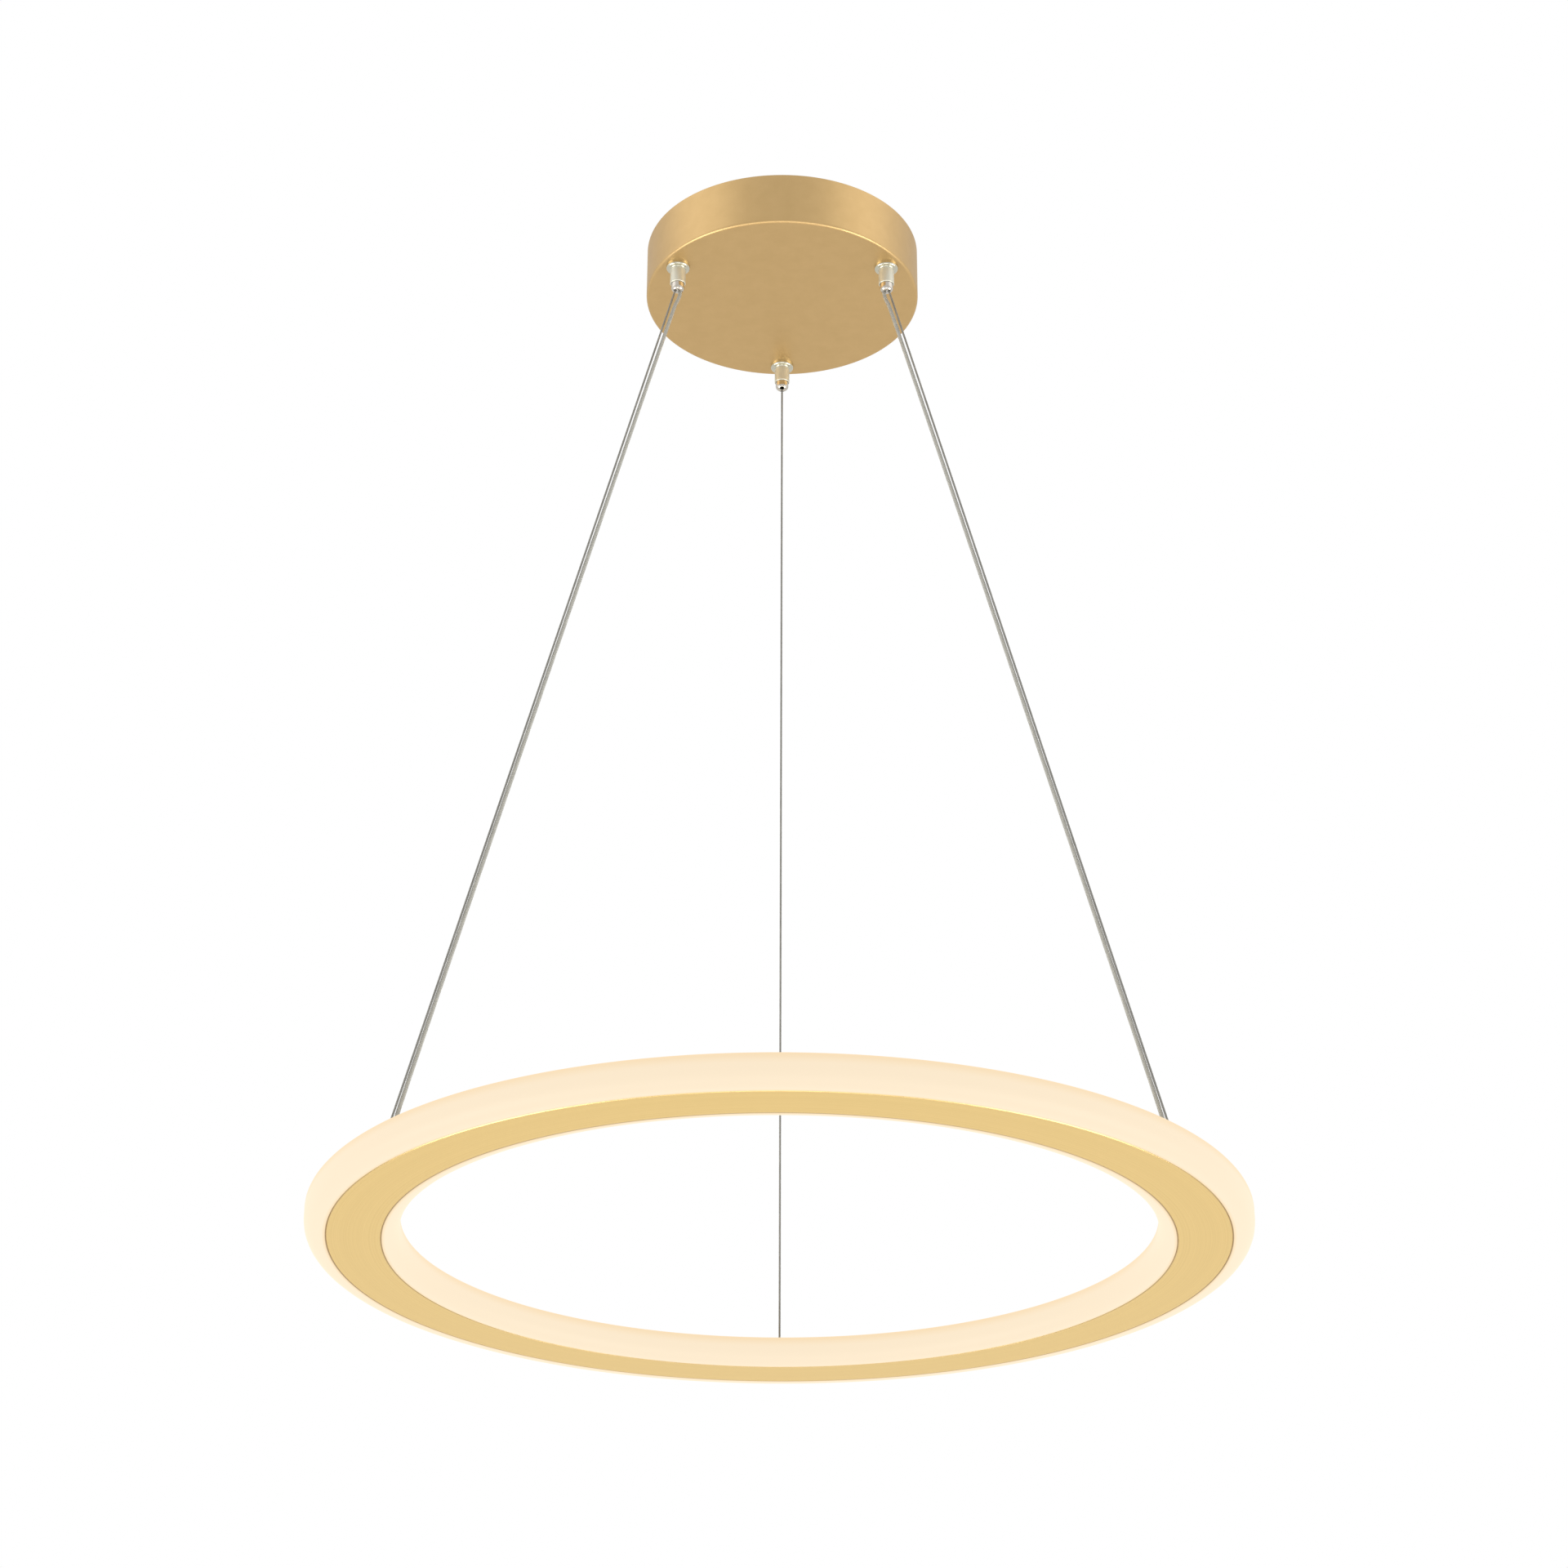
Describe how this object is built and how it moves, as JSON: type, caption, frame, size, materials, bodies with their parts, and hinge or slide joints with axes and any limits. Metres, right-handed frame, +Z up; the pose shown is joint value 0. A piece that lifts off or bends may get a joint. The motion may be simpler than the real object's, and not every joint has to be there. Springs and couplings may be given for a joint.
{
  "type": "led ring chandelier",
  "caption": "Pendant ring lamp with a flat gold ring edged by glowing diffusers, hung on slanting steel cables from a low round canopy with grippers that set its height.",
  "frame": {"origin": "on the ceiling plane at the middle of the canopy, which is the top face of the ceiling bracket", "axes": "+Z up to the ceiling and out of it, so the lamp hangs at minus Z; -Y toward the viewer's side, where the left and right cables stand; +X to the viewer's right"},
  "size_m": [0.5999, 0.6, 0.7625],
  "materials": {
    "gold_canopy": "satin gold lacquer on spun steel",
    "gold_ring": "brushed aluminium, anodised pale gold",
    "milky_diffuser": "milky silicone lens, lit warm white from inside",
    "led_chip": "phosphor-filled LED chip",
    "strip_board": "white flexible circuit",
    "nickel": "bright nickel plating",
    "cable_steel": "stranded stainless steel",
    "lead_jacket": "clear PVC over two tinned cores",
    "clear_plastic": "clear moulded plastic",
    "bracket_steel": "zinc-plated steel",
    "screw_steel": "zinc-plated steel",
    "screw_brass": "turned brass",
    "pad_rubber": "white foam tape",
    "white_plastic": "white moulded plastic, fine grain",
    "board_plastic": "green circuit board",
    "live_insulation": "brown PVC insulation",
    "neutral_insulation": "blue PVC insulation",
    "earth_insulation": "green and yellow PVC insulation"
  },
  "bodies": {
    "canopy": {"canopy_cover": "gold_canopy", "ceiling_bracket": "bracket_steel", "canopy_side_screws": "screw_steel", "earth_screw": "screw_brass", "adhesive_pads": "pad_rubber", "driver_case": "white_plastic", "driver_lid": "white_plastic", "driver_board": "board_plastic", "driver_screws": "screw_steel", "terminal_block": "white_plastic", "terminal_screws": "screw_brass", "mains_lead_live": "live_insulation", "mains_lead_neutral": "neutral_insulation", "earth_lead": "earth_insulation", "gripper_nuts": "nickel", "gripper_body_left": "nickel", "gripper_spring_left": "cable_steel", "cable_tail_left": "cable_steel", "suspension_cable_left": "cable_steel", "gripper_body_right": "nickel", "gripper_spring_right": "cable_steel", "cable_tail_right": "cable_steel", "suspension_cable_right": "cable_steel", "gripper_body_back": "nickel", "gripper_spring_back": "cable_steel", "cable_tail_back": "cable_steel", "suspension_cable_back": "cable_steel", "power_lead_left": "lead_jacket", "lead_tail_left": "lead_jacket", "power_lead_right": "lead_jacket", "lead_tail_right": "lead_jacket"},
    "ring": {"ring_profile": "gold_ring", "ring_top_cover": "gold_ring", "outer_diffuser": "milky_diffuser", "inner_diffuser": "milky_diffuser", "led_strip_outer": "strip_board", "led_strip_inner": "strip_board", "led_chips_outer": "led_chip", "led_chips_inner": "led_chip", "cable_ends": "cable_steel", "lead_grommets": "clear_plastic", "cover_screws": "screw_steel", "cable_anchor_left": "nickel", "cable_anchor_right": "nickel", "cable_anchor_back": "nickel", "lead_end_left": "lead_jacket", "strip_connector_left": "white_plastic", "feed_wires_left": "live_insulation", "lead_end_right": "lead_jacket", "strip_connector_right": "white_plastic", "feed_wires_right": "live_insulation"},
    "sleeve_left": {"release_sleeve_left": "nickel", "clamp_balls_left": "cable_steel"},
    "sleeve_right": {"release_sleeve_right": "nickel", "clamp_balls_right": "cable_steel"},
    "sleeve_back": {"release_sleeve_back": "nickel", "clamp_balls_back": "cable_steel"}
  },
  "joints": [
    {"name": "ring_height", "type": "slide", "parent": "canopy", "child": "ring", "axis": [0, 0, 1], "range_m": [0, 0.25], "deforming": ["suspension_cable_left", "suspension_cable_right", "suspension_cable_back", "power_lead_left", "power_lead_right"]},
    {"name": "sleeve_left_slide", "type": "slide", "parent": "canopy", "child": "sleeve_left", "axis": [0, 0, 1], "range_m": [0, 0.0015], "stiffness_N_per_m": 400, "springref_m": -0.002, "deforming": ["gripper_spring_left"]},
    {"name": "sleeve_right_slide", "type": "slide", "parent": "canopy", "child": "sleeve_right", "axis": [0, 0, 1], "range_m": [0, 0.0015], "stiffness_N_per_m": 400, "springref_m": -0.002, "deforming": ["gripper_spring_right"]},
    {"name": "sleeve_back_slide", "type": "slide", "parent": "canopy", "child": "sleeve_back", "axis": [0, 0, 1], "range_m": [0, 0.0015], "stiffness_N_per_m": 400, "springref_m": -0.002, "deforming": ["gripper_spring_back"]}
  ]
}
